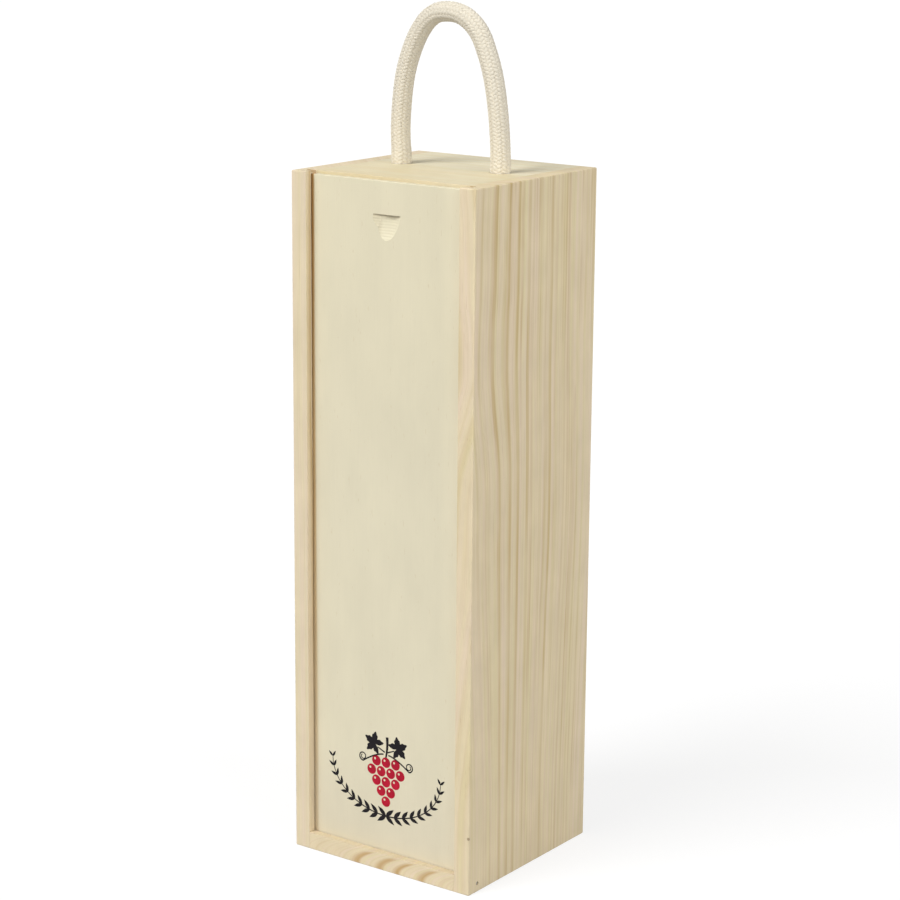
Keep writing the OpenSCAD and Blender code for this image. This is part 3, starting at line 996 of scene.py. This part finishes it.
vine = bmesh.new()
stalk = [(0.9 * math.sin(2.2 * t), 58.6 + 11 * t) for t in np.linspace(0, 1, 12)]
stamp(vine, ribbon(stalk, (1.0, 1.7)))
for side in (-1, 1):
    tip = math.radians(90 - side * vine_leaf_lean)
    stamp(vine, rounded((side * vine_leaf_x, vine_leaf_z),
                        lambda angle: vine_leaf(math.remainder(angle - tip, math.tau)), 120))
    # A tendril runs out from under the leaf and ends in a coil that grows tighter
    tendril = [(side * (1.5 + 13 * t), 60.2 - 6.1 * t ** 1.5) for t in np.linspace(0, 0.99, 12)]
    for t in np.linspace(0, 1, 40):
        coil_r = 2.4 - 1.5 * t
        tendril.append((side * (coil_x + coil_r * math.sin(9 * t)), coil_z - coil_r * math.cos(9 * t)))
    stamp(vine, ribbon(tendril, (0.8, 0.45)))
    leaf_stalk = [(side * (0.7 + 4.5 * t), 61.4 + 1.9 * t) for t in np.linspace(0, 1, 6)]
    stamp(vine, ribbon(leaf_stalk, (0.8, 0.6)))
stalks = pressed("ornament_vine", vine, black_ink)


def spray_tree():
    """A stem along a line, with pairs of leaves that grow smaller towards its tip."""
    tree, given = growing_tree("leafy_spray", {
        "Line": "Geometry", "Leaf": "Object", "Spacing": "Float", "Splay": "Float", "Stem width": "Float",
        "Stem thickness": "Float", "Tip scale": "Float", "Material": "Material"})
    joints = put(tree, "GeometryNodeResampleCurve", {"Curve": given["Line"], "Length": given["Spacing"]},
                 mode="LENGTH")
    size = put(tree, "GeometryNodeSplineParameter")["Factor"] * (given["Tip scale"] - 1.0) + 1.0
    ahead = put(tree, "FunctionNodeAlignEulerToVector", {"Vector": put(tree, "GeometryNodeInputTangent")},
                axis="X", pivot_axis="Y")
    one_leaf = put(tree, "GeometryNodeObjectInfo", {"Object": given["Leaf"]})["Geometry"]
    parts = []
    for way in (-1.0, 1.0):
        splay = put(tree, "ShaderNodeCombineXYZ", {1: given["Splay"] * way})
        turn = put(tree, "FunctionNodeRotateEuler", {"Rotation": ahead, "Rotate By": splay}, space="LOCAL")
        parts.append(put(tree, "GeometryNodeInstanceOnPoints",
                         {"Points": joints, "Instance": one_leaf, "Rotation": turn, "Scale": size}))
    faced = put(tree, "GeometryNodeSetCurveNormal", {"Curve": given["Line"], "Normal": (0, -1, 0)},
                mode="FREE")
    ring = put(tree, "GeometryNodeCurvePrimitiveQuadrilateral",
               {"Width": given["Stem thickness"], "Height": given["Stem width"]})
    parts.append(put(tree, "GeometryNodeCurveToMesh",
                     {"Curve": faced, "Profile Curve": ring, "Scale": size, "Fill Caps": True}))
    hand_over(parts, given["Material"])
    return tree


flat_leaf = bmesh.new()
leaf_edge = [(leaf_len * t, leaf_half_w * math.sin(math.pi * t ** 0.8)) for t in np.linspace(0, 1, 11)]
stamp(flat_leaf, leaf_edge + [(x, -z) for x, z in leaf_edge[-2:0:-1]])
leaf = pressed("ornament_leaf", flat_leaf, black_ink)
leaf.data.transform(Matrix.Translation((0, -lid_low.y, 0)))
angles = np.linspace(0, math.pi / 2, 25)
stems = [([(side * spray_reach * math.sin(t) * MM, lid_low.y,
            (spray_low_z + spray_rise * (1 - math.cos(t))) * MM) for t in angles], [1] * len(angles))
         for side in (-1, 1)]
sprays = grown("ornament_sprays", spray_tree(), {
    "Leaf": leaf, "Spacing": 4.7 * MM, "Splay": math.radians(38), "Stem width": 0.75 * MM,
    "Stem thickness": ink_thick * 0.9, "Tip scale": 0.55, "Material": black_ink}, stems)
bpy.data.objects.remove(leaf)
for piece, slot in ((grapes, "red_ink"), (stalks, "black_ink"), (sprays, "black_ink")):
    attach(piece, "lid")

# The floor and the light
# A plain pale floor, a broad soft key light from the front left, high up, a weaker one from the front
# right and an even white sky. The camera sees the floor and the sky as white.


def seen_straight(tree):
    """1 for what the camera, a reflection or a clear body shows, and 0 for light on its way."""
    path = put(tree, "ShaderNodeLightPath")
    return maths("MAXIMUM", path["Is Camera Ray"],
                 maths("MAXIMUM", path["Is Glossy Ray"], path["Is Transmission Ray"]))


# The floor glows for the camera and in reflections only, so that it shows as white
floor_glow = 1.75
glow_share = 0.45
white, shader, place = new_material("pale_floor")
tree = place.tree
fill(shader, {"Base Color": (0.45, 0.45, 0.45, 1), "Roughness": 0.9, "Specular IOR Level": 0.1})
glow = put(tree, "ShaderNodeEmission", {"Color": (1, 1, 1, 1), "Strength": floor_glow})
both = put(tree, "ShaderNodeMixShader", {0: seen_straight(tree) * glow_share, 1: Flow(shader), 2: glow})
fill(tree.nodes["Material Output"], {"Surface": both})
floor = block("floor", (-12, -12, -0.01), (12, 12, 0))
floor.data.materials.append(white)


def sun(name, strength, azimuth, height, softness):
    """A far lamp. Its azimuth is counted from the front, towards the right. All angles are in degrees."""
    lamp = bpy.data.lights.new(name, "SUN")
    lamp.energy = strength
    lamp.angle = math.radians(softness)
    a, h = math.radians(azimuth), math.radians(height)
    coming = Vector((math.sin(a) * math.cos(h), -math.cos(a) * math.cos(h), math.sin(h)))
    in_scene(name, lamp).rotation_euler = coming.to_track_quat("Z", "Y").to_euler()


sun("key", strength=2.48, azimuth=-22, height=44, softness=35)
sun("fill", strength=1.58, azimuth=80, height=18, softness=50)
world = bpy.data.worlds.new("white_sky")
world.use_nodes = True
bpy.context.scene.world = world
tree = world.node_tree
sky_light = 0.27
fill(tree.nodes["Background"], {"Color": (1, 1, 1, 1),
                                "Strength": stretch(seen_straight(tree), 0.0, 1.0, sky_light, 1.0)})
bpy.context.scene.view_settings.view_transform = "Standard"
